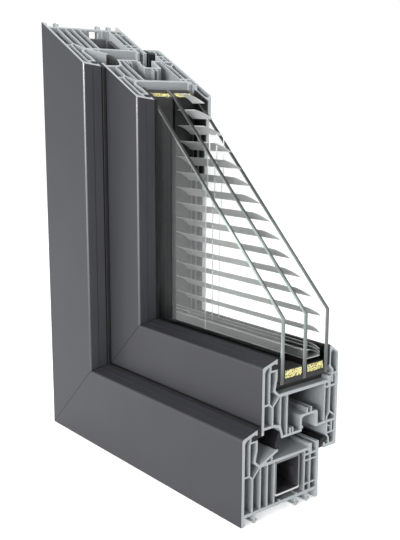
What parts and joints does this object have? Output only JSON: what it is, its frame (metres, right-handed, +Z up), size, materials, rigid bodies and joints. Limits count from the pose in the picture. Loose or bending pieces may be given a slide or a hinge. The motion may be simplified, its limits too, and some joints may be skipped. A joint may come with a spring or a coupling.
{
  "type": "window corner section",
  "caption": "Cut-open corner of a window: multi-chamber plastic frame and sash with seals, steel core and bead, around sealed glazing that holds a slatted blind.",
  "frame": {"origin": "middle of the sample's base, under the bottom rail's feet", "axes": "+X along the bottom rail from the mitred corner to the square cut, +Y from outdoors to the room, +Z up along the upright"},
  "size_m": [0.2734, 0.102, 0.3796],
  "materials": {
    "profile_plastic": "extruded window plastic, light grey body, its outdoor faces anthracite",
    "steel": "dark folded steel tube",
    "seal": "black extruded rubber",
    "spacer": "granular yellow drying agent",
    "edge_sealant": "black sealant",
    "packer": "black moulded plastic",
    "glass": "clear float glass with cut edges",
    "slat": "grey lacquered aluminium strip",
    "cord": "white braided polyester"
  },
  "bodies": {
    "root": {"frame_rail": "profile_plastic", "frame_upright": "profile_plastic", "frame_steel_rail": "steel", "frame_steel_upright": "steel", "sash_rail": "profile_plastic", "sash_upright": "profile_plastic", "glazing_bead_rail": "profile_plastic", "glazing_bead_upright": "profile_plastic", "frame_seal_rail": "seal", "frame_seal_upright": "seal", "middle_seal_rail": "seal", "middle_seal_upright": "seal", "sash_seal_rail": "seal", "sash_seal_upright": "seal", "outer_glass_seal_rail": "seal", "outer_glass_seal_upright": "seal", "inner_glass_seal_rail": "seal", "inner_glass_seal_upright": "seal", "outdoor_spacer_rail": "spacer", "outdoor_spacer_upright": "spacer", "room_spacer_rail": "spacer", "room_spacer_upright": "spacer", "outdoor_edge_seal_rail": "edge_sealant", "outdoor_edge_seal_upright": "edge_sealant", "room_edge_seal_rail": "edge_sealant", "room_edge_seal_upright": "edge_sealant", "glazing_packer_rail": "packer", "glazing_packer_upright": "packer", "outdoor_pane": "glass", "middle_pane": "glass", "room_pane": "glass", "slat_01": "slat", "slat_02": "slat", "slat_03": "slat", "slat_04": "slat", "slat_05": "slat", "slat_06": "slat", "slat_07": "slat", "slat_08": "slat", "slat_09": "slat", "slat_10": "slat", "slat_11": "slat", "slat_12": "slat", "slat_13": "slat", "slat_14": "slat", "slat_15": "slat", "slat_16": "slat", "blind_rail": "slat", "lift_cord": "cord", "ladder_cord_front": "cord", "ladder_cord_back": "cord"}
  },
  "joints": []
}
